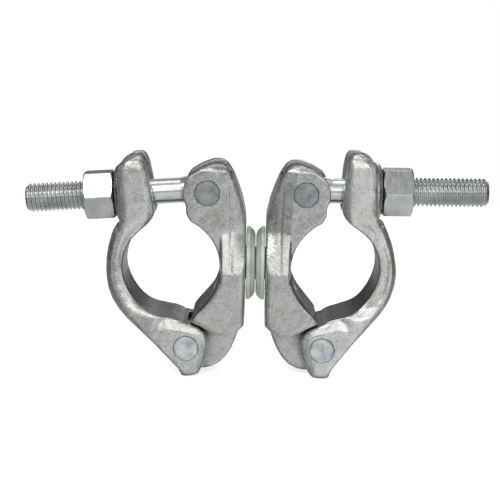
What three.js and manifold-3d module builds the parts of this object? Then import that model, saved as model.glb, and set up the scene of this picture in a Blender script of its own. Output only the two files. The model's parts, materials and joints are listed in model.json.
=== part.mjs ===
// Drop-forged swivel coupler for scaffold tube: two half couplers back to back on a centre rivet.
// Millimetres, +Z up. X runs along both bolts, Y along the tube that each half grips.
// The origin is on the floor under the swivel axis, and the coupler stands on its two flap toes.
//
// A half coupler is drawn once, in a frame of its own: x points away from the swivel's meeting
// plane, z = 0 is the swivel axis and y = 0 the middle of the forging. The right half is that
// drawing as it stands, the left half is the same turned half a turn about Z.
import * as THREE from "three";
import { mergeVertices } from "three/addons/utils/BufferGeometryUtils.js";
import Module from "manifold-3d";

// ---- driving dimensions ----
const TUBE_RADIUS = 24.15; // 48.3 mm scaffold tube
const TUBE_X = 41.2; // tube axis, out from the swivel's meeting plane
const AXIS_HEIGHT = 52.6; // swivel axis above the floor
const GAP = 0.3; // between pieces that touch

const BODY_BACK = 4.7; // back face of the saddle
const JAW_HALF = 21.5; // half width of the saddle's lower jaws
const JAW_MOUTH = [22.2, -14.9]; // where the seat leaves its arc for the jaw tip, x and z
const EAR_HALF = 16.9; // half width over the two ears
const EAR_SLOT_HALF = 8.2;
const TONGUE_HALF = 8.7;

const BOLT_PIVOT = [23.2, 35.7]; // pin through the ears, x and z
const HINGE_PIVOT = [32.4, -38.7]; // pin through the tongue and the flap's fork
const PIN_RADIUS = 5.7;
const BORE_RADIUS = PIN_RADIUS + GAP;
const PIN_PROUD = 0.9; // how far a peened pin end stands proud

const FLAP_TUBE = [8.8, 38.7]; // tube axis seen from the hinge pin, flap just shut on the tube
const STRAP_HALF = 16.6;
const HEAD_HALF = 18;
const FORK_HALF = 18.4;
const FORK_SLOT_HALF = TONGUE_HALF + 0.45;
const TOE_RADIUS = 13.9; // the toes' round feet, about the hinge pin
const HEAD_SLOT_HALF = 7.8; // slot for the bolt, open at the top

const BOLT_LENGTH = 87.4; // pin to bolt end
const THREAD_START = 37;
const THREAD_RADIUS = 7; // M14 x 2
const SHANK_RADIUS = 6.05;
const EYE_RADIUS = 10.4;
const EYE_HALF = 7.5;

const WASHER_RADIUS = 14;
const WASHER_THICK = 3.6;
const NUT_ACROSS_FLATS = 22;
const NUT_HEIGHT = 14.4;

const RIVET_RADIUS = 8;
const RIVET_HEAD_RADIUS = 12.5;
const SWIVEL_WASHER_RADIUS = 17.8;

// how each half stands at rest: the flap is shut past a bare tube, and the nut sits on its head
const SIDES = [
  { side: "left", turn: Math.PI, shut: 3.6, droop: 4.1, seat: 40.9 },
  { side: "right", turn: 0, shut: 10.2, droop: -0.3, seat: 32.9 },
];

const ROUND = 36; // segments in a full circle
const degrees = (value) => (value * Math.PI) / 180;

// ---- finishes ----
const finish = (colour, roughness) =>
  new THREE.MeshStandardMaterial({ color: colour, roughness, metalness: 0.9, flatShading: true });
const galvanised = finish(0xb4b5b0, 0.45);
const brightZinc = finish(0xc6c8cb, 0.28);
const rivetZinc = finish(0x9fa9b3, 0.5);
const greenZinc = finish(0xa3aea6, 0.4);

// ---- shaping tools ----
const wasm = await Module();
wasm.setup();

/** The solid inside a closed three.js geometry. */
function solid(geometry) {
  const bare = geometry.clone();
  bare.deleteAttribute("normal");
  bare.deleteAttribute("uv");
  const merged = mergeVertices(bare, 1e-4);
  return new wasm.Manifold(
    new wasm.Mesh({
      numProp: 3,
      vertProperties: merged.attributes.position.array,
      triVerts: new Uint32Array(merged.index.array),
    }),
  );
}

/** A named mesh of a solid. */
function piece(name, made, material) {
  const mesh = made.getMesh();
  const geometry = new THREE.BufferGeometry()
    .setAttribute("position", new THREE.BufferAttribute(mesh.vertProperties, 3))
    .setIndex(new THREE.BufferAttribute(mesh.triVerts, 1));
  geometry.computeVertexNormals();
  const result = new THREE.Mesh(geometry, material);
  result.name = name;
  return result;
}

/** An x-z outline given depth along y, both ways from y = 0, with its edges cut back by bevel. */
function slabGeometry(outline, half, bevel = 0, arcSteps = 10) {
  const geometry = new THREE.ExtrudeGeometry(outline, {
    depth: 2 * (half - bevel),
    curveSegments: arcSteps,
    bevelEnabled: bevel > 0,
    bevelThickness: bevel,
    bevelSize: bevel,
    bevelOffset: -bevel,
    bevelSegments: 2,
  });
  return geometry.translate(0, 0, bevel - half).rotateX(Math.PI / 2);
}

const slab = (...settings) => solid(slabGeometry(...settings));

/** A round bar along y through a point of the x-z plane. */
function bar(radius, half, [x, z] = [0, 0]) {
  return solid(new THREE.CylinderGeometry(radius, radius, 2 * half, ROUND).translate(x, 0, z));
}

/** A profile of [distance along x, radius] points turned about the x axis. */
function turned(profile, segments = ROUND) {
  const points = profile.map(([along, radius]) => new THREE.Vector2(radius, along));
  return solid(new THREE.LatheGeometry(points, segments).rotateZ(-Math.PI / 2));
}

/** Half a profile of [radius, y] points, doubled by mirroring and turned about the y axis. */
function spun(half, segments = ROUND) {
  const profile = [...half.map(([radius, y]) => [radius, -y]).reverse(), ...half];
  return solid(new THREE.LatheGeometry(profile.map(([r, y]) => new THREE.Vector2(r, y)), segments));
}

const polygon = (points) => new THREE.Shape(points.map(([x, z]) => new THREE.Vector2(x, z)));

// ---- half coupler body: saddle, ears for the bolt, tongue for the flap ----
function bodyOutline() {
  const [px, pz] = BOLT_PIVOT;
  const outline = polygon([
    [BODY_BACK, -27], // back face, then along the underside of the jaws
    [7.4, -29.6],
    [10.5, -31.3],
    [14, -32.5],
    [18, -32.1],
    [22.3, -29.9],
    [25.5, -27.9],
    [29.1, -26.2], // jaw tip
    [31, -24.5],
    [31.2, 21.9], // straight across the tube's space, which is cut away afterwards
    [33.2, 25.6],
  ]);
  outline.absarc(px, pz, 11.8, degrees(-30), degrees(45), false); // nose of the ears
  outline.lineTo(26.8, 46.9);
  outline.lineTo(21.2, 49.2); // flat top, then down the back
  outline.lineTo(16.8, 49.2);
  outline.lineTo(14.2, 47.6);
  outline.lineTo(10.8, 42.4);
  outline.lineTo(8.4, 36.6);
  outline.lineTo(6.4, 30.8);
  outline.lineTo(BODY_BACK, 23.5);
  return outline;
}

/** What is left of the body seen along x: wide jaws below, slanting in to narrower ears. */
function bodyFront() {
  const right = [
    [JAW_HALF, -60],
    [JAW_HALF, -2],
    [EAR_HALF, 17],
    [EAR_HALF, 46.5],
    [EAR_HALF - 2, 49.5],
  ];
  const left = right.map(([y, z]) => [-y, z]).reverse();
  const geometry = new THREE.ExtrudeGeometry(polygon([...right, ...left]), {
    depth: 80,
    bevelEnabled: false,
  });
  return solid(geometry.rotateX(Math.PI / 2).rotateZ(Math.PI / 2));
}

/** The tube's own space in the body: a round seat, straight below where it opens to the jaw tip. */
function tubeSpace() {
  const flare = 1.4;
  const straight = JAW_HALF - flare;
  const past = straight + 2 * flare;
  const end = [[TUBE_RADIUS, straight], [TUBE_RADIUS + 2 * flare, past], [0, past]];
  const mouth = polygon([JAW_MOUTH, [31.5, -26.5], [50, -26.5], [50, 0]]);
  return spun(end, 2 * ROUND)
    .translate([TUBE_X, 0, 0])
    .add(slab(mouth, 2 * JAW_HALF));
}

function tongue() {
  const [hx, hz] = HINGE_PIVOT;
  const outline = polygon([
    [BODY_BACK + 2, -24],
    [7, -31],
    [8.7, -35.6],
    [10.9, -40.8],
    [13.6, -45.2],
    [17, -48.5],
    [21, -50.4],
    [25.2, -51.1],
  ]);
  outline.absarc(hx, hz, 9.6, degrees(-95), degrees(102), false); // eye for the hinge pin
  outline.lineTo(27.6, -26.6);
  outline.lineTo(26, -24);
  return slab(outline, TONGUE_HALF, 1.2);
}

function earSlot() {
  const [px, pz] = BOLT_PIVOT;
  const reach = EYE_RADIUS + 0.8;
  const outline = new THREE.Shape();
  outline.moveTo(px - reach, 70);
  outline.lineTo(px - reach, pz);
  outline.absarc(px, pz, reach, Math.PI, 1.5 * Math.PI, false);
  outline.lineTo(60, pz - reach);
  outline.lineTo(60, 70);
  return slab(outline, EAR_SLOT_HALF);
}

function body() {
  const rivetHole = turned([
    [0, 0],
    [0, RIVET_RADIUS + GAP],
    [10.2, RIVET_RADIUS + GAP],
    [14.9, RIVET_HEAD_RADIUS + GAP],
    [30, RIVET_HEAD_RADIUS + GAP],
    [30, 0],
  ]);
  return slab(bodyOutline(), JAW_HALF, 2.2)
    .intersect(bodyFront())
    .add(tongue())
    .subtract(tubeSpace())
    .subtract(earSlot())
    .subtract(bar(BORE_RADIUS, 40, BOLT_PIVOT))
    .subtract(bar(BORE_RADIUS, 40, HINGE_PIVOT))
    .subtract(rivetHole);
}

// ---- flap, in a frame of its own: the hinge pin is the origin ----

/** One section across the strap: inner and outer points, half width, slant inside, rounding outside. */
function station(inner, outer, half, slant = 0.9, round = 5.6) {
  return { inner, outer, half, slant, round };
}

/** A section with its inner point on the tube's arc, or proud of it, the outer one straight behind. */
function arcStation(angle, outerRadius, half, proud = 0, round = 5.6) {
  const [x, z] = FLAP_TUBE;
  const turn = degrees(angle);
  const at = (radius) => [x + radius * Math.cos(turn), z + radius * Math.sin(turn)];
  return station(at(TUBE_RADIUS + GAP - proud), at(outerRadius), half, 0.9, round);
}

function flapStations() {
  return [
    station([28.4, 89.7], [33.8, 89], 14.8), // top of the head
    station([26.6, 87.6], [38.6, 86.4], 17, 1.8),
    station([25, 84], [41, 82], HEAD_HALF, 2.8),
    station([22.6, 76], [40, 74], HEAD_HALF, 3.2),
    station([20.6, 67.5], [38.8, 66], HEAD_HALF, 3.4),
    station([19.8, 62.4], [38.2, 59.5], 17.6, 3.4), // foot of the head
    station([21.4, 58.8], [38.3, 56], 17, 2),
    station([25.2, 54.6], [38.8, 53], 16.7, 1.2),
    arcStation(27, 33.8, STRAP_HALF, 0.9),
    arcStation(10, 32.8, STRAP_HALF, 0.4),
    arcStation(-8, 33, STRAP_HALF),
    arcStation(-26, 34, STRAP_HALF),
    arcStation(-44, 34.6, STRAP_HALF, 0, 4.6),
    arcStation(-61, 35, 17.2, -0.4, 3),
    arcStation(-74, 37, 18, -0.4, 1.8),
    station([7.5, 13.9], [13.1, -1.6], FORK_HALF, 0.9, 1.5),
    station([3.5, 12.8], [9.5, -5], FORK_HALF - 0.2, 0.9, 1.5),
  ];
}

/** Points round one section, each as [across from inner to outer, y]: the outer corners are round. */
function sectionPoints({ half, slant, ...section }, thick) {
  const round = Math.min(section.round, thick - slant - 0.4);
  const side = [
    [0, half - 0.6 * slant],
    [slant, half],
    [thick - round, half],
    [thick - 0.45 * round, half - 0.26 * round],
    [thick - 0.12 * round, half - 0.78 * round],
    [thick, half - 1.35 * round],
  ];
  return [...side, ...side.map(([across, y]) => [across, -y]).reverse()];
}

/** The stations with more put in between them, each coordinate on a smooth curve. */
function smoothStations(perSpan) {
  const stations = flapStations();
  const curve = (read) => {
    const points = stations.map((one) => new THREE.Vector3(...read(one)));
    const through = new THREE.CatmullRomCurve3(points);
    return (at) => through.getPoint(at);
  };
  const inner = curve((one) => [...one.inner, 0]);
  const outer = curve((one) => [...one.outer, 0]);
  const width = curve((one) => [one.half, one.slant, one.round]);
  const count = perSpan * (stations.length - 1);
  return Array.from({ length: count + 1 }, (_, i) => {
    const [from, to, across] = [inner, outer, width].map((along) => along(i / count));
    return station([from.x, from.y], [to.x, to.y], across.x, across.y, across.z);
  });
}

/** The strap as a skin over its stations, closed by a flat fan at each end. */
function strap() {
  const rings = smoothStations(2).map((section) => {
    const from = new THREE.Vector2(...section.inner);
    const across = new THREE.Vector2(...section.outer).sub(from);
    const thick = across.length();
    across.normalize();
    return sectionPoints(section, thick).map(([along, y]) => {
      const point = from.clone().addScaledVector(across, along);
      return [point.x, y, point.y];
    });
  });
  const count = rings[0].length;
  const faces = [];
  for (let ring = 0; ring + 1 < rings.length; ring++)
    for (let i = 0; i < count; i++) {
      const a = ring * count + i;
      const b = ring * count + ((i + 1) % count);
      faces.push(a, b, a + count, b, b + count, a + count);
    }
  const last = (rings.length - 1) * count;
  for (let i = 1; i + 1 < count; i++) {
    faces.push(0, i + 1, i);
    faces.push(last, last + i, last + i + 1);
  }
  const geometry = new THREE.BufferGeometry()
    .setAttribute("position", new THREE.Float32BufferAttribute(rings.flat(2), 3))
    .setIndex(faces);
  return solid(geometry);
}

function fork() {
  const outline = polygon([
    [13.1, -1.6],
    [13, 5],
    [10.7, 13],
    [5.7, 12.4],
    [-1.9, 11.9],
    [-5.2, 11],
    [-8, 8.6],
    [-9.8, 5],
    [-10.3, 1.5],
    [-9.8, -4],
    [-8.8, -8.7],
  ]);
  outline.absarc(0, 0, TOE_RADIUS, degrees(-120), degrees(-86), false); // round toe
  outline.lineTo(3.2, -10.5);
  return slab(outline, FORK_HALF, 1.1, 4);
}

/** Room between the fork's cheeks for the body's tongue. */
function forkSlot() {
  const outline = polygon([
    [6, -8],
    [6, -22],
    [-22, -22],
    [-22, 20],
    [-1.4, 20],
    [-1.4, 12.6],
    [2.6, 9.8],
  ]);
  return slab(outline, FORK_SLOT_HALF).add(bar(10.2, FORK_SLOT_HALF));
}

/** A cutter drawn in the bolt's frame, placed in the flap's. */
function fromBolt(geometry, { shut, droop }) {
  const pivot = new THREE.Vector2(...BOLT_PIVOT).sub(new THREE.Vector2(...HINGE_PIVOT));
  pivot.rotateAround(new THREE.Vector2(), -degrees(shut));
  return solid(geometry.rotateY(degrees(shut + droop)).translate(pivot.x, 0, pivot.y));
}

/** The head's seat: flat under the washer, and round about the bolt's pin where the nut swings off. */
function washerSeat(how) {
  const depth = how.seat - GAP;
  const outline = new THREE.Shape();
  outline.moveTo(depth, -WASHER_RADIUS - 0.6);
  outline.lineTo(depth, 0);
  outline.absarc(0, 0, depth, 0, degrees(48), false);
  outline.lineTo(90, 60);
  outline.lineTo(90, -WASHER_RADIUS - 0.6);
  return fromBolt(slabGeometry(outline, WASHER_RADIUS + 0.5), how);
}

function headSlot(how) {
  const outline = polygon([[8, -8.1], [80, -8.1], [80, 60], [8, 60]]);
  return fromBolt(slabGeometry(outline, HEAD_SLOT_HALF), how);
}

function flap() {
  let made = strap().add(fork()).subtract(forkSlot()).subtract(bar(BORE_RADIUS, 40));
  for (const how of SIDES) made = made.subtract(washerSeat(how));
  return made.subtract(headSlot(SIDES[0])).subtract(headSlot(SIDES[1]));
}

// ---- bolt, washer and nut, in the bolt's frame: the pin is the origin, x runs to the bolt's end ----
function eyeBolt() {
  const shaft = turned([
    [0, 0],
    [0, SHANK_RADIUS],
    [THREAD_START - 1, SHANK_RADIUS],
    [THREAD_START, THREAD_RADIUS],
    [BOLT_LENGTH - 1.4, THREAD_RADIUS],
    [BOLT_LENGTH, THREAD_RADIUS - 1.4],
    [BOLT_LENGTH, 0],
  ]);
  return bar(EYE_RADIUS, EYE_HALF).add(shaft).subtract(bar(BORE_RADIUS, 40));
}

function domedWasher() {
  const bore = THREAD_RADIUS + 0.4;
  return turned([
    [0, bore],
    [0, WASHER_RADIUS],
    [1.3, WASHER_RADIUS],
    [WASHER_THICK, WASHER_RADIUS - 2.4],
    [WASHER_THICK, bore],
    [0, bore],
  ]);
}

function hexNut() {
  const corner = NUT_ACROSS_FLATS / Math.sqrt(3);
  const prism = new THREE.CylinderGeometry(corner, corner, NUT_HEIGHT, 6, 1, false, Math.PI / 2);
  const chamfered = turned([
    [0, 0],
    [0, 0.49 * NUT_ACROSS_FLATS],
    [1, corner],
    [NUT_HEIGHT - 1, corner],
    [NUT_HEIGHT, 0.49 * NUT_ACROSS_FLATS],
    [NUT_HEIGHT, 0],
  ]);
  return solid(prism.rotateZ(-Math.PI / 2).translate(NUT_HEIGHT / 2, 0, 0))
    .intersect(chamfered)
    .subtract(bar(THREAD_RADIUS + GAP, 2 * NUT_HEIGHT).rotate([0, 0, 90]));
}

// ---- pins, swivel washers and the centre rivet ----

/** A pin along y with both ends peened to a low dome. */
function pin(half) {
  return spun([[PIN_RADIUS, half - 0.8], [PIN_RADIUS - 0.9, half - 0.15], [0, half]]);
}

function swivelWasher() {
  const bore = RIVET_RADIUS + GAP;
  const face = GAP / 2;
  const back = BODY_BACK - GAP;
  return turned([
    [face, bore],
    [face, SWIVEL_WASHER_RADIUS - 4],
    [face + 0.9, SWIVEL_WASHER_RADIUS - 1.6],
    [face + 2, SWIVEL_WASHER_RADIUS],
    [back, SWIVEL_WASHER_RADIUS],
    [back, bore],
    [face, bore],
  ]);
}

function swivelRivet() {
  const half = [[10.4, RIVET_RADIUS], [15.1, RIVET_HEAD_RADIUS], [16.3, RIVET_HEAD_RADIUS], [16.3, 0]];
  return turned([...half.map(([along, radius]) => [-along, radius]).reverse(), ...half]);
}

// ---- assembly ----
function halfCoupler({ side, turn, shut, droop, seat }) {
  const half = new THREE.Group();
  half.position.z = AXIS_HEIGHT;
  half.rotation.z = turn;

  const boltPin = piece(`${side}_bolt_pin`, pin(EAR_HALF + PIN_PROUD), rivetZinc);
  boltPin.position.set(BOLT_PIVOT[0], 0, BOLT_PIVOT[1]);
  half.add(
    piece(`${side}_body`, body(), galvanised),
    piece(`${side}_swivel_washer`, swivelWasher(), greenZinc),
    boltPin,
  );

  const flapGroup = new THREE.Group();
  flapGroup.position.set(HINGE_PIVOT[0], 0, HINGE_PIVOT[1]);
  flapGroup.rotation.y = -degrees(shut);
  flapGroup.add(
    piece(`${side}_flap`, flap(), galvanised),
    piece(`${side}_hinge_pin`, pin(FORK_HALF + PIN_PROUD), rivetZinc),
  );

  const boltGroup = new THREE.Group();
  boltGroup.position.set(BOLT_PIVOT[0], 0, BOLT_PIVOT[1]);
  boltGroup.rotation.y = degrees(droop);
  const washer = piece(`${side}_washer`, domedWasher(), brightZinc);
  washer.position.x = seat;
  const nut = piece(`${side}_nut`, hexNut(), brightZinc);
  nut.position.x = seat + WASHER_THICK + GAP;
  boltGroup.add(piece(`${side}_eye_bolt`, eyeBolt(), brightZinc), washer, nut);

  half.add(flapGroup, boltGroup);
  return half;
}

const coupler = new THREE.Group();
for (const how of SIDES) coupler.add(halfCoupler(how));
const rivet = piece("swivel_rivet", swivelRivet(), rivetZinc);
rivet.position.z = AXIS_HEIGHT;
coupler.add(rivet);

export default coupler;
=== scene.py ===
"""Swivel scaffold coupler: forgings, bolts, nuts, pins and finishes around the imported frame."""
import json
import math

import bmesh
import bpy
import numpy as np
from mathutils import Matrix, Vector


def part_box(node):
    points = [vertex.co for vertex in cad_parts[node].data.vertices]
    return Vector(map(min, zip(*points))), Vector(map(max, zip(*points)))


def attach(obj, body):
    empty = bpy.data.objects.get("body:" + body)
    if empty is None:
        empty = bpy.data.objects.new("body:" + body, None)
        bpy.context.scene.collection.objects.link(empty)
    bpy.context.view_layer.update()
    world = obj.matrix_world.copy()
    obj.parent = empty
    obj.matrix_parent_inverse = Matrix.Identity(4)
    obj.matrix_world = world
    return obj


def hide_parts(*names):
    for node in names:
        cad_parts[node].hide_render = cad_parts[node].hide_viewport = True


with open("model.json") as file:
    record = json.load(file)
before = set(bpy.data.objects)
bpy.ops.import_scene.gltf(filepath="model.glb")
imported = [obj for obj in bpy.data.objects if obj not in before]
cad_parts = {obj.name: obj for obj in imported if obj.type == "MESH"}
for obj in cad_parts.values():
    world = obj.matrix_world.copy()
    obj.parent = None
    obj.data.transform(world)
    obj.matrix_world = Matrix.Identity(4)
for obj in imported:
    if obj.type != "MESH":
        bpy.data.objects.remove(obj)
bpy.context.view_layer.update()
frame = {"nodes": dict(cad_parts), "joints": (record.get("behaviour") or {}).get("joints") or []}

MM = 0.001
SIDES = ("left", "right")
OUT = {"left": -1.0, "right": 1.0}  # which way each half points along X

# ---------------------------------------------------------------- driving dimensions, metres
TUBE_RADIUS = 24.15 * MM
TUBE_OUT = 41.2 * MM  # tube axis, out from the swivel's meeting plane
SHANK_RADIUS = 6.05 * MM
THREAD_RADIUS = 7.0 * MM
THREAD_PITCH = 2.0 * MM
THREAD_DEPTH = 1.15 * MM
THREAD_START = 37 * MM  # from the bolt's pin
THREAD_RUN_IN = 3 * MM  # length over which the groove reaches its full depth
THREAD_CREST = 0.14  # flat top of the thread, as a part of half a pitch
THREAD_FLANK = 0.68
END_CHAMFER = 1.9 * MM
END_SLOPE = 0.9
BOLT_LENGTH = 87.4 * MM
EYE_HALF = 7.5 * MM
EYE_RADIUS = 10.4 * MM
EYE_VOXEL = 0.45 * MM
EYE_WEAR = 12
PIN_RADIUS = 5.85 * MM
BORE_RADIUS = 5.92 * MM  # a hair wider than the pin, so that only a fine line shows between them
GAP = 0.3 * MM  # clearance between pieces that turn or rest on each other
NUT_FLATS = 22 * MM
NUT_HEIGHT = 14.4 * MM
WASHER_RADIUS = 14 * MM
WASHER_THICK = 3.6 * MM
SEAT = {"left": 40.9 * MM, "right": 32.9 * MM}  # from the bolt's pin to the washer
SHUT = {"left": math.radians(3.6), "right": math.radians(10.2)}  # how far each flap is closed
SWIVEL_HEIGHT = sum(corner.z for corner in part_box("swivel_rivet")) / 2
SWIVEL_WASHER_RADIUS = 17.8 * MM
RIVET_RADIUS = 8 * MM
RIVET_HEAD_RADIUS = 12.5 * MM

JOINTS = {joint["name"]: joint for joint in frame["joints"]}

# forgings. On each half, u runs out from the swivel's meeting plane and w up from the swivel axis.
VOXEL = 0.5 * MM
WEAR = 13  # smoothing passes on a forging's skin
SKIN_NOISE = ((0.13, 10), (0.07, 4), (0.03, 1.5))  # height and size of the skin's waves, mm
SKIN_SINK = 0.1  # mm that the skin sinks, so that its waves stay inside the solid

JAW_HALF = 21.5 * MM
EAR_HALF = 16.9 * MM
JAW_TOP = -2 * MM  # w where the slant between the jaws and the ears starts
EAR_FOOT = 17 * MM  # w where that slant ends
EAR_RIDGE = 16.4 * MM  # u where the ear's flat stops and falls away to the back
EAR_BREAK = 11.6 * MM  # u where it falls away faster
EAR_SLOPE = 0.26  # fall per mm beyond the ridge, and as much again beyond the break
RIDGE_LEAN = 0.11  # how far the ridge and the break lean out per mm of height
BREAK_LEAN = 0.05
LEAN_START = 20 * MM
CREASE_DEPTH = 0.42 * MM  # line along the break
CREASE_HALF = 0.7 * MM

STRAP_CROWN = 29.6 * MM  # radius from the tube's axis where the strap's side is highest
STRAP_HALF_WIDTH = 5.2 * MM
STRAP_FALL = 1.15 * MM
HEAD_CENTRE = (0.6 * MM, 70 * MM)  # a point on the head's middle line, from the hinge
HEAD_LEAN = 0.2
HEAD_HALF_WIDTH = 8.5 * MM
HEAD_FALL = 1.1 * MM
EDGE_STRIP = 4.2 * MM  # chamfer along the inner edge of the flap's cheeks
EDGE_SLOPE = 0.34
CHEEK_EDGE = [(22, 16), (17, 9.6), (10.7, 13), (5.7, 12.4), (-1.9, 11.9), (-5.2, 11), (-8, 8.6),
              (-9.8, 5), (-10.3, 1.5), (-9.8, -4), (-8.8, -8.7)]  # that edge from the hinge, mm

# hot dip zinc
CLOUD_SIZE = 14 * MM
BLOT_SIZE = 3.2 * MM
CRYSTAL_SIZE = 2.6 * MM
GRAIN_SIZE = 0.75 * MM
# painted shade: how far the darkening in crevices reaches
CREVICE_SHADE_REACH = 6 * MM
ZINC_DARK = (0.455, 0.467, 0.448)
ZINC_MEDIUM = (0.593, 0.61, 0.592)
ZINC_LIGHT = (0.71, 0.73, 0.713)
# painted shade: the near black colours painted in the seats and slots, and in crevices
PAINTED_SEAT_AND_SLOT_SHADE = (0.10, 0.112, 0.10)
PAINTED_CREVICE_SHADE = (0.035, 0.036, 0.034)

# camera, light and floor
CAMERA_PLACE = (0, -0.650, 0.122 + SWIVEL_HEIGHT)
CAMERA_PITCH, CAMERA_YAW, CAMERA_ROLL = (math.radians(turn) for turn in (10.10, -0.243, 1.1))
FLOOR_HALF = 0.6
FLOOR_GLOW = 0.75
# brightness of the room by the height of the direction, -1 straight down to 1 straight up
ROOM_LEVELS = [(-1.0, 0.50), (-0.35, 0.76), (-0.13, 0.68), (-0.02, 0.18), (0.08, 0.10),
               (0.17, 0.9), (0.28, 2.3), (0.48, 0.9), (0.80, 0.22), (1.0, 0.55)]
ROOM_ENDS = 0.12  # how bright the room stays towards +X and -X
ROOM_BACK = 0.16  # how bright the lower wall stays towards +Y
ROOM_LEAN = (0.63, 1.26)  # brightness towards -X and towards +X
LIGHTS = {  # place, width and height, radiance
    "ceiling": ((0.0, 0.10, 1.05), (0.6, 0.4), 1.3),
    "key": ((-0.45, -0.72, 0.95), (0.74, 0.38), 3.6),
    "right": ((0.92, -0.88, 0.05), (0.50, 0.5), 0.85),
    "left": ((-0.86, -0.95, 0.05), (0.34, 0.5), 0.45),
    "back": ((0.35, 1.25, 0.70), (0.5, 0.3), 1.6),
}


# ---------------------------------------------------------------- numbers on arrays
def ramp(value, low, high):
    """0 below low, 1 above high, smooth between. It also runs downwards when low is above high."""
    part = np.clip((value - low) / (high - low), 0, 1)
    return part * part * (3 - 2 * part)


# large odd numbers that turn a cell's three indices and the seed into one hash
HASH_AXES = np.array([374761393, 668265263, 2147483647])
HASH_SEED = 974634777
HASH_MIX = 1274126177


def lattice_noise(points, cell, seed):
    """Smooth value noise in -1..1 on an n x 3 array of points, one lattice value per cell."""
    grid = points / cell
    base = np.floor(grid).astype(np.int64)
    part = grid - base
    part = part * part * (3 - 2 * part)
    total = np.zeros(len(points))
    for corner in range(8):
        step = np.array([corner & 1, corner >> 1 & 1, corner >> 2 & 1])
        key = base + step
        mixed = key @ HASH_AXES + seed * HASH_SEED
        mixed = (mixed ^ (mixed >> 13)) * HASH_MIX
        value = ((mixed ^ (mixed >> 16)) & 65535) / 32767.5 - 1
        weight = np.where(step, part, 1 - part).prod(axis=1)
        total += weight * value
    return total


def distance_to_line(points, corners):
    """Distance of n x 2 points to an open line through the corners."""
    best = np.full(len(points), np.inf)
    for a, b in zip(np.array(corners), np.array(corners[1:])):
        along = b - a
        part = np.clip((points - a) @ along / (along @ along), 0, 1)
        best = np.minimum(best, np.linalg.norm(points - a - part[:, None] * along, axis=1))
    return best


# ---------------------------------------------------------------- mesh tools
def new_object(name, mesh):
    made = bpy.data.objects.new(name, mesh)
    bpy.context.scene.collection.objects.link(made)
    return made


def shade_smooth(piece):
    piece.data.polygons.foreach_set("use_smooth", [True] * len(piece.data.polygons))


def applied(piece):
    """The piece with its modifiers applied to its mesh."""
    depsgraph = bpy.context.evaluated_depsgraph_get()
    mesh = bpy.data.meshes.new_from_object(piece.evaluated_get(depsgraph))
    piece.modifiers.clear()
    piece.data = mesh
    return piece


def co_of(mesh):
    co = np.zeros(len(mesh.vertices) * 3)
    mesh.vertices.foreach_get("co", co)
    return co.reshape(-1, 3)


def normals_of(mesh):
    normals = np.zeros(len(mesh.vertices) * 3)
    mesh.vertex_normals.foreach_get("vector", normals)
    return normals.reshape(-1, 3)


def set_co(mesh, co):
    mesh.vertices.foreach_set("co", co.ravel())
    mesh.update()


def from_bmesh(name, made):
    bmesh.ops.recalc_face_normals(made, faces=made.faces)
    mesh = bpy.data.meshes.new(name)
    made.to_mesh(mesh)
    made.free()
    piece = new_object(name, mesh)
    shade_smooth(piece)
    return piece


def lathe(name, profile, segments=96, axis="X"):
    """A profile of (along, radius) points turned about X or Y. A ring's profile is closed."""
    made = bmesh.new()
    closed = profile[0] == profile[-1]
    points = profile[:-1] if closed else profile
    turns = [2 * math.pi * k / segments for k in range(segments)]
    rings = []
    for along, radius in points:
        spots = [(along, radius * math.cos(t), radius * math.sin(t)) for t in turns]
        if radius == 0:
            spots = [(along, 0, 0)]
        rings.append([made.verts.new(spot) for spot in spots])
    following = rings[1:] + rings[:1] if closed else rings[1:]
    for a, b in zip(rings, following):
        for k in range(segments):
            n = (k + 1) % segments
            corners = [a[k % len(a)], a[n % len(a)], b[n % len(b)], b[k % len(b)]]
            made.faces.new(list(dict.fromkeys(corners)))
    if axis == "Y":
        made.transform(Matrix.Rotation(math.pi / 2, 4, "Z"))
    return from_bmesh(name, made)


def rounded(corners, radius, steps=5):
    """An open profile with its inner corners rounded. Ends stay where they are."""
    points = [Vector(corner) for corner in corners]
    out = [points[0]]
    for before, here, after in zip(points, points[1:], points[2:]):
        to_before, to_after = before - here, after - here
        cut = min(radius, 0.45 * to_before.length, 0.45 * to_after.length)
        start = here + to_before.normalized() * cut
        end = here + to_after.normalized() * cut
        for k in range(steps + 1):
            t = k / steps
            out.append(start * (1 - t) ** 2 + here * 2 * t * (1 - t) + end * t ** 2)
    out.append(points[-1])
    return [tuple(point) for point in out]


def ring_profile(corners, radius, steps=5):
    """A closed profile with every corner rounded."""
    middle = tuple((a + b) / 2 for a, b in zip(corners[0], corners[-1]))
    return rounded([middle, *corners, middle], radius, steps)


def boolean(piece, other, operation):
    cut = piece.modifiers.new("cut", "BOOLEAN")
    cut.operation = operation
    cut.object = other
    cut.solver = "MANIFOLD"
    applied(piece)
    bpy.data.objects.remove(other)
    return piece


def bar(radius, half, x=0.0, z=0.0, segments=96):
    """A closed round bar along Y through (x, z)."""
    made = lathe("bar", [(-half, 0), (-half, radius), (half, radius), (half, 0)], segments, "Y")
    made.data.transform(Matrix.Translation((x, 0, z)))
    return made


def joined(piece, others):
    """The piece with other closed shells added to its mesh, for a remesh to fuse."""
    made = bmesh.new()
    made.from_mesh(piece.data)
    for other in others:
        made.from_mesh(other.data)
        bpy.data.objects.remove(other)
    made.to_mesh(piece.data)
    made.free()
    return piece


def remeshed(piece, voxel, wear):
    """The piece's outer skin at one voxel size, with its edges worn round."""
    remesh = piece.modifiers.new("skin", "REMESH")
    remesh.mode = "VOXEL"
    remesh.voxel_size = voxel
    smooth = piece.modifiers.new("wear", "SMOOTH")
    smooth.factor = 0.5
    smooth.iterations = wear
    applied(piece)
    shade_smooth(piece)
    return piece


def place(piece, matrix):
    piece.data.transform(matrix)
    return piece


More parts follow.
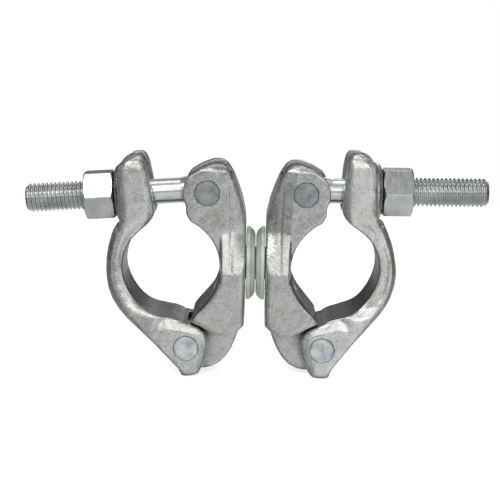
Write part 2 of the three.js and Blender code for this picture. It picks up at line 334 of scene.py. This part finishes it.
def bolt_matrix(side):
    """From the bolt's own frame, pin at the origin and x towards the bolt's end, to the row's."""
    pivot = Vector(JOINTS[f"{side}_bolt_swing"]["pos_m"])
    along = Vector(JOINTS[f"{side}_nut_turn"]["axis"]).normalized()
    across = Vector((0, 0, 1)).cross(along).normalized()
    up = along.cross(across)
    turn = Matrix((along, across, up)).transposed().to_4x4()
    return Matrix.Translation(pivot) @ turn


def centre_of(node):
    low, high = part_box(node)
    return (low + high) / 2


def half_extent(node, axis):
    low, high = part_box(node)
    return (high[axis] - low[axis]) / 2


# ---------------------------------------------------------------- forgings
def half_frame(co, side):
    """u, w and |y| of points: out from the meeting plane, up from the axis, off the middle."""
    return OUT[side] * co[:, 0], co[:, 2] - SWIVEL_HEIGHT, np.abs(co[:, 1])


def body_relief(co, side):
    """How far each point of a body moves in towards y = 0: the ears' falling faces, the slant
    that leads down to the jaws, and the crease between them."""
    u, w, off = half_frame(co, side)
    above = np.maximum(0, w - LEAN_START)
    ridge = EAR_RIDGE + RIDGE_LEAN * above
    broken = EAR_BREAK + BREAK_LEAN * above
    fall = EAR_SLOPE * np.maximum(0, ridge - u) + EAR_SLOPE * np.maximum(0, broken - u)
    fall *= ramp(w, 2 * MM, 24 * MM)
    plate = (JAW_HALF - EAR_HALF) * np.clip((EAR_FOOT - w) / (EAR_FOOT - JAW_TOP), 0, 1)
    plate *= ramp(w, JAW_TOP - 6 * MM, JAW_TOP + 1 * MM)
    plate *= ramp(u, ridge - 0.6 * MM, ridge + 0.6 * MM)
    crease = CREASE_DEPTH * np.exp(-((u - broken) / CREASE_HALF) ** 2)
    crease *= ramp(w, JAW_TOP - 1 * MM, JAW_TOP + 3 * MM) * ramp(w, 44 * MM, 36 * MM)
    return (fall + plate + crease) * ramp(off, 10.5 * MM, 14 * MM)


def flap_relief(co, side):
    """How far each point of a flap moves in towards y = 0: the chamfer along its cheeks' inner
    edge, and the crown across its strap and its head."""
    u, w, off = half_frame(co, side)
    hinge = Vector(JOINTS[f"{side}_flap_hinge"]["pos_m"])
    x, z = u - abs(hinge.x), w - (hinge.z - SWIVEL_HEIGHT)
    turned = np.stack([x * math.cos(SHUT[side]) + z * math.sin(SHUT[side]),
                       z * math.cos(SHUT[side]) - x * math.sin(SHUT[side])], axis=1)
    gap = distance_to_line(turned, np.array(CHEEK_EDGE) * MM)
    strip = EDGE_SLOPE * np.clip(EDGE_STRIP - gap, 0, None)
    strip *= ramp(turned[:, 0], 17 * MM, 11 * MM)
    out_x = u - TUBE_OUT
    from_crown = (np.hypot(out_x, w) - STRAP_CROWN) / STRAP_HALF_WIDTH
    crown = STRAP_FALL * np.clip(from_crown ** 2, 0, 1.6)
    crown *= ramp(out_x, 2 * MM, 9 * MM) * ramp(w, -27 * MM, -17 * MM) * ramp(w, 26 * MM, 19 * MM)
    middle_line = HEAD_CENTRE[0] + HEAD_LEAN * (turned[:, 1] - HEAD_CENTRE[1])
    from_middle = (turned[:, 0] - middle_line) / HEAD_HALF_WIDTH
    crown += HEAD_FALL * np.clip(from_middle ** 2, 0, 1.3) * ramp(turned[:, 1], 52 * MM, 62 * MM)
    return strip * ramp(off, 11 * MM, 14 * MM) + crown * ramp(off, 8 * MM, 13 * MM)


def dull_and_shade_mask(co, normals, side):
    """1 on the skin that a tube would lie against, less on faces that look at the middle plane,
    0 elsewhere. There the skin is rougher and its colour darkened as painted shade."""
    u, w, _ = half_frame(co, side)
    out_x = u - TUBE_OUT
    away = np.hypot(out_x, w)
    inwards = -(normals[:, 0] * OUT[side] * out_x + normals[:, 2] * w) / np.maximum(away, MM)
    seat = ramp(inwards, 0.55, 0.9) * ramp(away, TUBE_RADIUS + 6 * MM, TUBE_RADIUS + 3.5 * MM)
    facing_middle = -normals[:, 1] * np.sign(co[:, 1])
    return np.maximum(seat, 0.75 * ramp(facing_middle, 0.5, 0.9))


def forging(node, relief, bores, seed):
    """The CAD solid of a forging with its edges worn, its faces broken and its skin slightly
    uneven. The bores are filled first and cut again at the end, so they stay sharp."""
    side = node.split("_")[0]
    piece = new_object(f"{node}_forging", frame["nodes"][node].data.copy())
    plugs = [bar(BORE_RADIUS + 0.4 * MM, half - 1 * MM, x, z, 48) for x, z, half in bores]
    remeshed(joined(piece, plugs), VOXEL, WEAR)
    mesh = piece.data
    co = co_of(mesh)
    normals = normals_of(mesh)
    waves = [height * lattice_noise(co, size * MM, seed + n)
             for n, (height, size) in enumerate(SKIN_NOISE)]
    rise = (sum(waves) - SKIN_SINK) * MM
    co = co + normals * rise[:, None]
    co[:, 1] -= np.sign(co[:, 1]) * relief(co, side)
    set_co(mesh, co)
    # mask of the seats and slots: a rougher skin there, with its colour darkened as painted shade
    dull = mesh.attributes.new("dull", "FLOAT", "POINT")
    dull.data.foreach_set("value", dull_and_shade_mask(co, normals, side))
    for x, z, half in bores:
        boolean(piece, bar(BORE_RADIUS, 1.5 * half, x, z), "DIFFERENCE")
    shade_smooth(piece)
    return piece


# ---------------------------------------------------------------- bolts, nuts, washers and pins
def threaded_shaft():
    """Shank and helical thread as one height field, in the bolt's frame, closed at both ends."""
    per_turn, per_pitch = 60, 14
    coarse = 1.5 * MM
    plain = np.arange(9 * MM, THREAD_START - coarse, coarse)
    cut = np.arange(THREAD_START - coarse, BOLT_LENGTH, THREAD_PITCH / per_pitch)
    along = np.concatenate([plain, cut, [BOLT_LENGTH]])[:, None]
    turn = 2 * math.pi * np.arange(per_turn)[None, :] / per_turn
    shoulder = ramp(along, THREAD_START - 1 * MM, THREAD_START + 0.6 * MM)
    outer = SHANK_RADIUS + (THREAD_RADIUS - SHANK_RADIUS) * shoulder
    phase = np.mod(along / THREAD_PITCH - turn / (2 * math.pi), 1)
    groove = np.clip((np.abs(2 * phase - 1) - THREAD_CREST) / THREAD_FLANK, 0, 1)
    groove *= ramp(along, THREAD_START - 0.5 * MM, THREAD_START + THREAD_RUN_IN)
    end = THREAD_RADIUS - END_SLOPE * np.maximum(0, along - (BOLT_LENGTH - END_CHAMFER))
    radius = np.minimum(outer - THREAD_DEPTH * groove, end)
    along_all = np.broadcast_to(along, radius.shape)
    co = np.stack([along_all, radius * np.cos(turn), radius * np.sin(turn)], axis=2)
    rings = len(along)
    first = np.arange(rings - 1)[:, None] * per_turn
    spot = np.arange(per_turn)[None, :]
    corner = first + spot
    after = first + (spot + 1) % per_turn
    quads = np.stack([corner, after, after + per_turn, corner + per_turn], axis=2)
    faces = quads.reshape(-1, 4).tolist()
    count = rings * per_turn
    verts = np.concatenate([co.reshape(-1, 3), [[along[0, 0], 0, 0], [BOLT_LENGTH, 0, 0]]])
    last = (rings - 1) * per_turn
    for k in range(per_turn):
        n = (k + 1) % per_turn
        faces.append([n, k, count])
        faces.append([last + k, last + n, count + 1])
    mesh = bpy.data.meshes.new("shaft")
    mesh.from_pydata(verts.tolist(), [], faces)
    made = bmesh.new()
    made.from_mesh(mesh)
    return from_bmesh("shaft", made)


def eye_bolt(side):
    """A round eye blended into its neck, with the shaft let into the neck and the bore cut."""
    edge = [(-EYE_HALF, 0), (-EYE_HALF, EYE_RADIUS), (EYE_HALF, EYE_RADIUS), (EYE_HALF, 0)]
    eye = lathe(f"{side}_eye_bolt_steel", rounded(edge, 1.6 * MM), 96, "Y")
    neck = [(0, 0), (0, 7 * MM), (8 * MM, 7 * MM), (10.6 * MM, 6.6 * MM), (13.5 * MM, 5.98 * MM),
            (16 * MM, 5.9 * MM), (16 * MM, 0)]
    remeshed(joined(eye, [lathe("neck", neck)]), EYE_VOXEL, EYE_WEAR)
    boolean(eye, threaded_shaft(), "UNION")
    boolean(eye, bar(BORE_RADIUS, 2 * EYE_HALF), "DIFFERENCE")
    shade_smooth(eye)
    return place(eye, bolt_matrix(side))


def domed_washer(side):
    bore = THREAD_RADIUS + 0.4 * MM
    corners = [(0, bore), (0, WASHER_RADIUS), (1.4 * MM, WASHER_RADIUS),
               (2.9 * MM, WASHER_RADIUS - 1.3 * MM), (WASHER_THICK, WASHER_RADIUS - 3.2 * MM),
               (WASHER_THICK, bore)]
    washer = lathe(f"{side}_domed_washer", ring_profile(corners, 0.6 * MM))
    return place(washer, bolt_matrix(side) @ Matrix.Translation((SEAT[side], 0, 0)))


def hex_nut(side):
    """A hexagon with both ends turned to a cone, its corners facing along Y."""
    corner = NUT_FLATS / math.sqrt(3)
    made = bmesh.new()
    around = [(corner * math.cos(math.pi / 3 * k), corner * math.sin(math.pi / 3 * k))
              for k in range(6)]
    ends = [[made.verts.new((along, *spot)) for spot in around] for along in (0, NUT_HEIGHT)]
    for k in range(6):
        n = (k + 1) % 6
        made.faces.new((ends[0][k], ends[0][n], ends[1][n], ends[1][k]))
    made.faces.new(ends[0])
    made.faces.new(ends[1])
    nut = from_bmesh(f"{side}_hex_nut", made)
    soft = nut.modifiers.new("soft", "BEVEL")
    soft.width = 0.45 * MM
    soft.segments = 3
    soft.limit_method = "ANGLE"
    applied(nut)
    flat = 0.475 * NUT_FLATS
    rise = 1.3 * MM
    past = 0.05 * MM
    wide = corner + 0.1 * MM
    cone = [(-past, 0), (-past, flat), (rise, wide), (NUT_HEIGHT - rise, wide),
            (NUT_HEIGHT + past, flat), (NUT_HEIGHT + past, 0)]
    boolean(nut, lathe("cone", cone, 144), "INTERSECT")
    bore = THREAD_RADIUS + 0.25 * MM
    mouth = bore + 1.1 * MM
    hole = [(-1 * MM, 0), (-1 * MM, mouth + 1 * MM), (1 * MM, bore), (NUT_HEIGHT - 1 * MM, bore),
            (NUT_HEIGHT + 1 * MM, mouth + 1 * MM), (NUT_HEIGHT + 1 * MM, 0)]
    boolean(nut, lathe("hole", hole), "DIFFERENCE")
    nut.data.polygons.foreach_set("use_smooth", [False] * len(nut.data.polygons))
    start = SEAT[side] + WASHER_THICK + GAP
    return place(nut, bolt_matrix(side) @ Matrix.Translation((start, 0, 0)))


def peened_pin(node):
    """A pin along Y whose ends are hammered flat, with worn rims and a slightly raised middle."""
    half = half_extent(node, 1)
    end = [(half - 1.0 * MM, PIN_RADIUS), (half - 0.42 * MM, PIN_RADIUS - 0.12 * MM),
           (half - 0.16 * MM, PIN_RADIUS - 0.5 * MM), (half - 0.08 * MM, PIN_RADIUS - 1.4 * MM),
           (half - 0.04 * MM, PIN_RADIUS - 3 * MM), (half, 0)]
    mirrored = [(-along, radius) for along, radius in reversed(end)]
    pin = lathe(f"{node}_peened", mirrored + end, 64, "Y")
    return place(pin, Matrix.Translation(centre_of(node)))


def swivel_disc(side):
    """A turned disc: a narrow rim by the body, a ridge, and a long round fall to its flat face."""
    node = f"{side}_swivel_washer"
    low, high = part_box(node)
    face, back = sorted((abs(low.x), abs(high.x)))
    bore = RIVET_RADIUS + GAP
    rim = SWIVEL_WASHER_RADIUS
    corners = [(face, bore), (face, rim - 3.6 * MM), (face + 0.7 * MM, rim - 1.9 * MM),
               (face + 2.2 * MM, rim - 0.5 * MM), (face + 2.4 * MM, rim), (back, rim),
               (back, bore)]
    disc = lathe(f"{side}_swivel_disc", ring_profile(corners, 0.35 * MM), 144)
    if side == "left":
        disc.data.transform(Matrix.Rotation(math.pi, 4, "Z"))
    return place(disc, Matrix.Translation((0, 0, SWIVEL_HEIGHT)))


def centre_rivet():
    """A round shank along X with a countersunk head, worn at its rim, at each end."""
    half = half_extent("swivel_rivet", 0)
    head = [(half - 5.9 * MM, RIVET_RADIUS), (half - 1.4 * MM, RIVET_HEAD_RADIUS),
            (half - 0.5 * MM, RIVET_HEAD_RADIUS - 0.3 * MM),
            (half - 0.15 * MM, RIVET_HEAD_RADIUS - 1.2 * MM), (half, 0)]
    mirrored = [(-along, radius) for along, radius in reversed(head)]
    rivet = lathe("centre_rivet", mirrored + head, 96)
    return place(rivet, Matrix.Translation((0, 0, SWIVEL_HEIGHT)))


# ---------------------------------------------------------------- materials
class Finish:
    """A node material whose patterns lie in the piece's own metres. shift moves them, so that no
    two pieces look alike."""

    def __init__(self, name, shift):
        self.material = bpy.data.materials.new(name)
        self.material.use_nodes = True
        self.tree = self.material.node_tree
        self.shader = self.tree.nodes["Principled BSDF"]
        coords = self.tree.nodes.new("ShaderNodeTexCoord")
        self.place = self.tree.nodes.new("ShaderNodeMapping")
        self.place.inputs["Location"].default_value = shift
        self.link(coords.outputs["Object"], self.place.inputs["Vector"])

    def link(self, source, target):
        self.tree.links.new(source, target)

    def stretched(self, scale):
        """The piece's coordinates stretched along its axes."""
        made = self.tree.nodes.new("ShaderNodeMapping")
        made.inputs["Scale"].default_value = scale
        self.link(self.place.outputs[0], made.inputs["Vector"])
        return made.outputs[0]

    def noise(self, size, detail=2.0, rough=0.5, vector=None):
        """Noise in 0..1 whose blobs are about size metres across."""
        made = self.tree.nodes.new("ShaderNodeTexNoise")
        made.inputs["Scale"].default_value = 1 / size
        made.inputs["Detail"].default_value = detail
        made.inputs["Roughness"].default_value = rough
        self.link(vector or self.place.outputs[0], made.inputs["Vector"])
        return made.outputs["Fac"]

    def cells(self, size):
        """A flat random value in 0..1 for each crystal about size metres across."""
        made = self.tree.nodes.new("ShaderNodeTexVoronoi")
        made.inputs["Scale"].default_value = 1 / size
        self.link(self.place.outputs[0], made.inputs["Vector"])
        split = self.tree.nodes.new("ShaderNodeSeparateColor")
        self.link(made.outputs["Color"], split.inputs[0])
        return split.outputs[0]

    def span(self, value, low, high, to_low, to_high):
        made = self.tree.nodes.new("ShaderNodeMapRange")
        made.inputs["From Min"].default_value = low
        made.inputs["From Max"].default_value = high
        made.inputs["To Min"].default_value = to_low
        made.inputs["To Max"].default_value = to_high
        self.link(value, made.inputs["Value"])
        return made.outputs["Result"]

    def colour(self, value, stops):
        made = self.tree.nodes.new("ShaderNodeValToRGB")
        band = made.color_ramp
        while len(band.elements) < len(stops):
            band.elements.new(0.5)
        for element, (at, rgb) in zip(band.elements, stops):
            element.position = at
            element.color = (*rgb, 1)
        self.link(value, made.inputs["Fac"])
        return made.outputs["Color"]

    def blend(self, factor, a, b, how="MIX"):
        made = self.tree.nodes.new("ShaderNodeMix")
        made.data_type = "RGBA"
        made.blend_type = how
        for socket, value in ((made.inputs[0], factor), (made.inputs[6], a), (made.inputs[7], b)):
            if isinstance(value, (int, float)):
                socket.default_value = value
            elif isinstance(value, tuple):
                socket.default_value = (*value, 1)
            else:
                self.link(value, socket)
        return made.outputs[2]

    def sums(self, how, a, b):
        made = self.tree.nodes.new("ShaderNodeMath")
        made.operation = how
        for socket, value in zip(made.inputs, (a, b)):
            if isinstance(value, (int, float)):
                socket.default_value = value
            else:
                self.link(value, socket)
        return made.outputs[0]

    def crevice_shade(self, reach, low, high):
        """A mask for painted shade: 1 in the open, down to 0 where other steel closes in within
        reach.
        """
        made = self.tree.nodes.new("ShaderNodeAmbientOcclusion")
        made.samples = 6
        made.inputs["Distance"].default_value = reach
        return self.span(made.outputs["AO"], low, high, 0, 1)

    def painted(self, name):
        """A value that the mesh carries at each point."""
        made = self.tree.nodes.new("ShaderNodeAttribute")
        made.attribute_name = name
        return made.outputs["Fac"]

    def edges(self, low, high):
        """0 on flats and hollows, 1 on edges that stand out."""
        made = self.tree.nodes.new("ShaderNodeNewGeometry")
        return self.span(made.outputs["Pointiness"], low, high, 0, 1)

    def bump(self, height, depth, strength=1.0, under=None):
        made = self.tree.nodes.new("ShaderNodeBump")
        made.inputs["Strength"].default_value = strength
        made.inputs["Distance"].default_value = depth
        self.link(height, made.inputs["Height"])
        if under:
            self.link(under, made.inputs["Normal"])
        return made.outputs[0]

    def give(self, socket, value):
        if isinstance(value, (int, float)):
            self.shader.inputs[socket].default_value = value
        else:
            self.link(value, self.shader.inputs[socket])


def toned(tone, *colours):
    return [tuple(tone * part for part in colour) for colour in colours]


def galvanised(name, shift, tone):
    """Hot dip zinc on a rough forging: cloudy greys, faint crystals, a fine grain, brighter
    rubbed edges, a rougher skin in the seats and slots that is also darkened as painted shade, and
    painted shade in crevices."""
    made = Finish(name, shift)
    clouds = made.noise(CLOUD_SIZE, 3.0, 0.6)
    blots = made.noise(BLOT_SIZE, 3.0, 0.65)
    grain = made.noise(GRAIN_SIZE, 2.0, 0.6)
    crystals = made.cells(CRYSTAL_SIZE)
    rubbed = made.edges(0.53, 0.62)
    # rougher skin in the seats and slots, whose colour is also darkened as painted shade
    dull = made.painted("dull")
    # painted shade: 0 where other steel closes in, where the colour is darkened
    out_of_shade = made.crevice_shade(CREVICE_SHADE_REACH, 0.22, 0.80)

    dark, medium, light = toned(tone, ZINC_DARK, ZINC_MEDIUM, ZINC_LIGHT)
    half_clouds, half_blots = (made.sums("MULTIPLY", part, 0.5) for part in (clouds, blots))
    cloudy = made.sums("ADD", half_clouds, half_blots)
    base = made.colour(cloudy, [(0.36, dark), (0.5, medium), (0.64, light)])
    speck = made.span(grain, 0.36, 0.66, 0.0, 1.0)
    specks = made.colour(speck, [(0.0, (0.30, 0.30, 0.28)), (1.0, (0.86, 0.86, 0.84))])
    base = made.blend(0.30, base, specks)
    flake = made.colour(crystals, [(0.0, (0.82, 0.82, 0.83)), (1.0, (1.0, 1.0, 0.98))])
    base = made.blend(0.5, base, flake, "MULTIPLY")
    base = made.blend(made.sums("MULTIPLY", rubbed, 0.35), base, (0.80, 0.80, 0.79))
    # painted shade: the seats and the faces that look at the middle plane are darkened almost to
    # black
    base = made.blend(made.sums("MULTIPLY", dull, 0.85), base, PAINTED_SEAT_AND_SLOT_SHADE)
    # painted shade: the colour turns nearly black where other steel closes in
    base = made.blend(out_of_shade, PAINTED_CREVICE_SHADE, base)

    blotchy = made.span(blots, 0.3, 0.7, 0.20, 0.33)
    rough = made.sums("ADD", blotchy, made.span(crystals, 0, 1, -0.05, 0.05))
    rough = made.sums("ADD", rough, made.sums("MULTIPLY", rubbed, -0.08))
    rough = made.sums("ADD", rough, made.sums("MULTIPLY", dull, 0.08))

    dents = made.bump(blots, 0.24 * MM, 0.5)
    made.give("Base Color", base)
    made.give("Metallic", 0.85)
    made.give("Roughness", rough)
    made.give("Normal", made.bump(grain, 0.15 * MM, 0.65, dents))
    return made.material


def bright_zinc(name, shift, streaks, tone=1.0, dull=0.0):
    """Bright zinc plate with faint streaks along or across the turned surface, and dull spots."""
    made = Finish(name, shift)
    clouds = made.noise(7 * MM, 3.0, 0.6)
    lines = made.noise(1.1 * MM, 2.0, 0.6, made.stretched(streaks))
    spots = made.span(made.noise(1.6 * MM, 3.0, 0.7), 0.60, 0.74, 0.0, 1.0)
    dark, light = toned(tone, (0.61, 0.635, 0.63), (0.79, 0.82, 0.81))
    base = made.colour(clouds, [(0.35, dark), (0.65, light)])
    base = made.blend(made.sums("MULTIPLY", spots, 0.2), base, (0.34, 0.35, 0.35))
    # painted shade: nearly black in the thread's grooves and the nut's bore
    base = made.blend(made.crevice_shade(1.4 * MM, 0.12, 0.72), (0.06, 0.06, 0.06), base)
    streaky = made.span(lines, 0.3, 0.7, 0.13 + dull, 0.24 + dull)
    rough = made.sums("ADD", streaky, made.sums("MULTIPLY", spots, 0.1))
    made.give("Base Color", base)
    made.give("Metallic", 0.95)
    made.give("Roughness", rough)
    made.give("Normal", made.bump(lines, 0.02 * MM, 0.3))
    return made.material


def peened_zinc(name, shift, tone):
    """The dull bluish face of a hammered pin, with darker blotches."""
    made = Finish(name, shift)
    blots = made.noise(4.5 * MM, 3.0, 0.6)
    grain = made.noise(0.8 * MM, 2.0, 0.6)
    dark, medium, light = toned(
        tone, (0.31, 0.34, 0.37), (0.46, 0.485, 0.505), (0.57, 0.59, 0.60))
    made.give("Base Color", made.colour(blots, [(0.36, dark), (0.5, medium), (0.68, light)]))
    made.give("Metallic", 0.6)
    made.give("Roughness", made.span(blots, 0.3, 0.7, 0.42, 0.6))
    dents = made.bump(blots, 0.5 * MM, 0.5)
    made.give("Normal", made.bump(grain, 0.1 * MM, 0.5, dents))
    return made.material


def disc_zinc(name, shift):
    """Greenish smooth zinc on the turned discs, with faint turning marks and rub marks."""
    made = Finish(name, shift)
    clouds = made.noise(8 * MM, 2.0, 0.5)
    rings = made.noise(0.9 * MM, 2.0, 0.5, made.stretched((1, 0.02, 0.02)))
    greens = [(0.35, (0.56, 0.61, 0.55)), (0.65, (0.70, 0.755, 0.70))]
    made.give("Base Color", made.colour(clouds, greens))
    made.give("Metallic", 0.55)
    made.give("Roughness", made.span(clouds, 0.3, 0.7, 0.34, 0.46))
    made.give("Normal", made.bump(rings, 0.06 * MM, 0.4))
    return made.material


def floor_paint():
    """A pale matt floor that glows slightly, so that it stays near white around the object."""
    made = Finish("floor_paint", (0, 0, 0))
    clouds = made.noise(0.4, 2.0, 0.5)
    greys = [(0.3, (0.90, 0.90, 0.90)), (0.7, (0.93, 0.93, 0.93))]
    made.give("Base Color", made.colour(clouds, greys))
    made.give("Roughness", 0.9)
    made.shader.inputs["Emission Color"].default_value = (1, 1, 1, 1)
    made.shader.inputs["Emission Strength"].default_value = FLOOR_GLOW
    return made.material


# ---------------------------------------------------------------- camera, light and floor

def look(position, pitch, yaw, roll):
    """A matrix at position that looks along +Y, turned by yaw, tipped down and then rolled."""
    level = math.cos(pitch)
    forward = Vector((math.sin(yaw) * level, math.cos(yaw) * level, -math.sin(pitch)))
    right = forward.cross(Vector((0, 0, 1))).normalized()
    up = right.cross(forward)
    rolled_right = math.cos(roll) * right + math.sin(roll) * up
    rolled_up = -math.sin(roll) * right + math.cos(roll) * up
    turn = Matrix((rolled_right, rolled_up, -forward)).transposed().to_4x4()
    return Matrix.Translation(position) @ turn


def make_camera():
    data = bpy.data.cameras.new("camera")
    data.lens = 98.3
    data.sensor_width = 36
    data.clip_start, data.clip_end = 0.05, 20
    camera = new_object("camera", data)
    camera.matrix_world = look(Vector(CAMERA_PLACE), CAMERA_PITCH, CAMERA_YAW, CAMERA_ROLL)
    bpy.context.scene.camera = camera


def make_world():
    """White where the camera sees past the object. Elsewhere a room: a grey table below, a dim
    band at eye level, a bright upper wall in front, and less from both ends and from behind."""
    world = bpy.data.worlds.new("studio")
    bpy.context.scene.world = world
    world.use_nodes = True
    nodes, links = world.node_tree.nodes, world.node_tree.links

    def maths(operation, *values):
        made = nodes.new("ShaderNodeMath")
        made.operation = operation
        for socket, value in zip(made.inputs, values):
            if isinstance(value, (int, float)):
                socket.default_value = value
            else:
                links.new(value, socket)
        return made.outputs[0]

    def smooth_span(value, low, high, to_low, to_high):
        made = nodes.new("ShaderNodeMapRange")
        made.interpolation_type = "SMOOTHSTEP"
        made.inputs["From Min"].default_value = low
        made.inputs["From Max"].default_value = high
        made.inputs["To Min"].default_value = to_low
        made.inputs["To Max"].default_value = to_high
        links.new(value, made.inputs["Value"])
        return made.outputs["Result"]

    room = nodes["Background"]
    white = nodes.new("ShaderNodeBackground")
    white.inputs["Color"].default_value = (1, 1, 1, 1)
    split = nodes.new("ShaderNodeSeparateXYZ")
    links.new(nodes.new("ShaderNodeTexCoord").outputs["Generated"], split.inputs[0])
    band = nodes.new("ShaderNodeValToRGB")
    while len(band.color_ramp.elements) < len(ROOM_LEVELS):
        band.color_ramp.elements.new(0.5)
    for element, (height, level) in zip(band.color_ramp.elements, ROOM_LEVELS):
        element.position = 0.5 + 0.5 * height
        element.color = (level, level, level, 1)
    x, y, z = split.outputs
    links.new(maths("MULTIPLY_ADD", z, 0.5, 0.5), band.inputs["Fac"])
    ends = smooth_span(maths("ABSOLUTE", x), 0.15, 0.95, 1.0, ROOM_ENDS)
    behind = smooth_span(y, -0.1, 0.5, 0.0, 1.0 - ROOM_BACK)
    raised = smooth_span(z, -0.02, 0.10, 0.0, 1.0)
    low = smooth_span(z, 0.36, 0.55, 1.0, 0.0)
    back = maths("SUBTRACT", 1.0, maths("MULTIPLY", behind, maths("MULTIPLY", raised, low)))
    lean = smooth_span(x, -0.45, 0.35, *ROOM_LEAN)
    links.new(maths("MULTIPLY", lean, maths("MULTIPLY", ends, back)), room.inputs["Strength"])
    links.new(band.outputs["Color"], room.inputs["Color"])
    either = nodes.new("ShaderNodeMixShader")
    links.new(nodes.new("ShaderNodeLightPath").outputs["Is Camera Ray"], either.inputs[0])
    links.new(room.outputs[0], either.inputs[1])
    links.new(white.outputs[0], either.inputs[2])
    links.new(either.outputs[0], nodes["World Output"].inputs["Surface"])


def soft_light(name, position, target, size, radiance):
    """A rectangular card of light that faces its target and that the camera doesn't see."""
    data = bpy.data.lights.new(name, "AREA")
    data.shape = "RECTANGLE"
    data.size, data.size_y = size
    data.energy = radiance * math.pi * size[0] * size[1]
    light = new_object(name, data)
    towards = (Vector(target) - Vector(position)).normalized()
    turn = towards.to_track_quat("-Z", "Y").to_matrix().to_4x4()
    light.matrix_world = Matrix.Translation(position) @ turn
    light.visible_camera = False


def make_floor():
    made = bmesh.new()
    bmesh.ops.create_grid(made, x_segments=1, y_segments=1, size=FLOOR_HALF)
    floor = from_bmesh("floor", made)
    floor.location.z = -0.1 * MM
    floor.visible_glossy = False  # the room's grey table is what the steel reflects
    floor.data.materials.append(floor_paint())


# ---------------------------------------------------------------- the scene
make_camera()
make_world()
for light_name, (position, card_size, radiance) in LIGHTS.items():
    soft_light(light_name, position, (0, 0, SWIVEL_HEIGHT), card_size, radiance)
make_floor()
bpy.context.scene.view_settings.view_transform = "Standard"

finishes = {
    "left_body": galvanised("left_body_zinc", (0.013, 0.041, 0.007), 1.02),
    "right_body": galvanised("right_body_zinc", (0.117, 0.003, 0.052), 1.0),
    "left_flap": galvanised("left_flap_zinc", (0.043, 0.021, 0.017), 1.24),
    "right_flap": galvanised("right_flap_zinc", (0.087, 0.033, 0.032), 1.36),
    "steel": bright_zinc("bolt_zinc", (0.02, 0.01, 0.03), (0.06, 1, 1), 1.08, 0.06),
    "nut": bright_zinc("nut_zinc", (0.05, 0.07, 0.01), (1, 0.3, 0.3), 0.93, 0.08),
    "washer": bright_zinc("washer_zinc", (0.01, 0.02, 0.09), (1, 0.2, 0.2), 0.85, 0.05),
    "ear_pin": peened_zinc("ear_pin_zinc", (0.004, 0.0, 0.006), 0.68),
    "hinge_pin": peened_zinc("hinge_pin_zinc", (0.031, 0.0, 0.017), 1.32),
    "disc": disc_zinc("disc_zinc", (0.0, 0.0, 0.0)),
}


def dress(piece, finish, node, body):
    """The piece gets its finish, stands for its CAD node and rides on its body."""
    piece.data.materials.clear()
    piece.data.materials.append(finishes[finish])
    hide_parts(node)
    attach(piece, body)


PINS = (("bolt_pin", "ear_pin", "half"), ("hinge_pin", "hinge_pin", "flap"))  # finish and holder


def bore_of(pin):
    """x and z of a pin's axis, and half the pin's length."""
    at = centre_of(pin)
    return at.x, at.z, half_extent(pin, 1)


for index, side in enumerate(SIDES):
    ear_bore, hinge_bore = bore_of(f"{side}_bolt_pin"), bore_of(f"{side}_hinge_pin")
    body = forging(f"{side}_body", body_relief, [ear_bore, hinge_bore], 10 * index + 3)
    flap = forging(f"{side}_flap", flap_relief, [hinge_bore], 10 * index + 7)
    dress(body, f"{side}_body", f"{side}_body", f"{side}_half")
    dress(flap, f"{side}_flap", f"{side}_flap", f"{side}_flap")
    dress(eye_bolt(side), "steel", f"{side}_eye_bolt", f"{side}_bolt")
    dress(domed_washer(side), "washer", f"{side}_washer", f"{side}_washer")
    dress(hex_nut(side), "nut", f"{side}_nut", f"{side}_nut")
    for pin, finish, held_by in PINS:
        node = f"{side}_{pin}"
        dress(peened_pin(node), finish, node, f"{side}_{held_by}")
    dress(swivel_disc(side), "disc", f"{side}_swivel_washer", f"{side}_half")
dress(centre_rivet(), "ear_pin", "swivel_rivet", "left_half")
